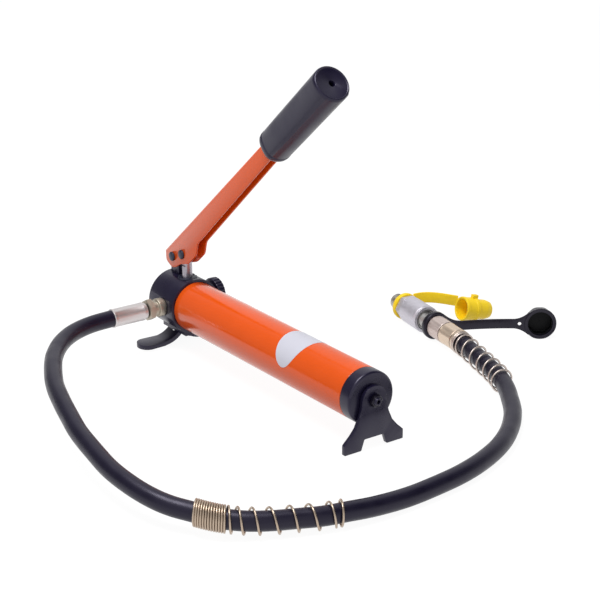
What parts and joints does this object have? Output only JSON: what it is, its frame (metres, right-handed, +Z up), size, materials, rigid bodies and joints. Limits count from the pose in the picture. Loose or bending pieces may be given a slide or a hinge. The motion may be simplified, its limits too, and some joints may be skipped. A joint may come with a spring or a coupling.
{
  "type": "hydraulic hand pump",
  "caption": "Hydraulic hand pump with a tube reservoir, a lever handle, a release knob, and a hose that ends in a screw coupler with strapped dust caps.",
  "frame": {"origin": "on the floor, midway along and across the pump without its hose", "axes": "+X along the reservoir from the pump head to the front foot, +Z up"},
  "size_m": [0.4653, 0.5887, 0.3407],
  "materials": {
    "orange_paint": "satin",
    "black_coat": "satin",
    "steel": "satin",
    "bronze_plate": "satin",
    "black_rubber": "matt",
    "black_grip": "matt",
    "yellow_plastic": "satin"
  },
  "bodies": {
    "pump": {"reservoir_tube": "orange_paint", "pump_head": "black_coat", "end_cap": "black_coat", "tie_rod_nut": "black_coat", "front_foot": "black_coat", "rear_foot": "black_coat", "rear_foot_screws": "black_coat", "fulcrum_link": "black_coat", "tie_rod": "steel", "link_pin": "steel", "gland_nut": "steel", "release_ball": "steel", "inlet_ball": "steel", "outlet_ball": "steel", "outlet_spring": "steel", "relief_screw": "steel", "relief_spring": "steel", "relief_ball": "steel", "suction_tube": "steel", "hose_adapter": "steel", "hose_nut": "steel", "pump_ferrule": "steel", "coupler_nipple": "steel", "coupler_socket": "steel", "coupler_balls": "steel", "suction_filter": "bronze_plate", "mid_spring_guard": "bronze_plate", "end_spring_guard": "bronze_plate", "coupler_ferrule": "bronze_plate", "coupler_nut": "bronze_plate", "hose": "black_rubber", "head_seal_ring": "black_rubber", "cap_seal_ring": "black_rubber", "plunger_seal": "black_rubber", "black_dust_cap": "black_rubber", "yellow_dust_cap": "yellow_plastic"},
    "handle": {"handle_channel": "orange_paint", "handle_grip": "black_grip", "fulcrum_pin": "black_coat", "plunger_pin": "black_coat", "pin_clips": "black_coat"},
    "plunger": {"plunger": "steel"},
    "release_valve": {"release_stem": "steel", "release_knob": "black_coat", "release_seal_ring": "black_rubber"},
    "coupler_collar": {"coupler_collar": "steel"}
  },
  "joints": [
    {"name": "handle_swing", "type": "hinge", "parent": "pump", "child": "handle", "pos_m": [-0.1627, 0, 0.0942], "axis": [0, -1, 0], "range_deg": [-33, 8]},
    {"name": "plunger_slide", "type": "slide", "parent": "pump", "child": "plunger", "axis": [0, 0, 1], "range_m": [-0.012, 0.003]},
    {"name": "release_turn", "type": "hinge", "parent": "pump", "child": "release_valve", "pos_m": [-0.155, 0.033, 0.047], "axis": [0, 1, 0], "range_deg": [0, 270]},
    {"name": "collar_spin", "type": "hinge", "parent": "pump", "child": "coupler_collar", "pos_m": [-0.03923, 0.22604, 0.01505], "axis": [0.9848, -0.1736, 0], "continuous": true}
  ],
  "couplings": [
    {"joint": "plunger_slide", "follows": "handle_swing", "m_per_rad": 0.0189}
  ]
}
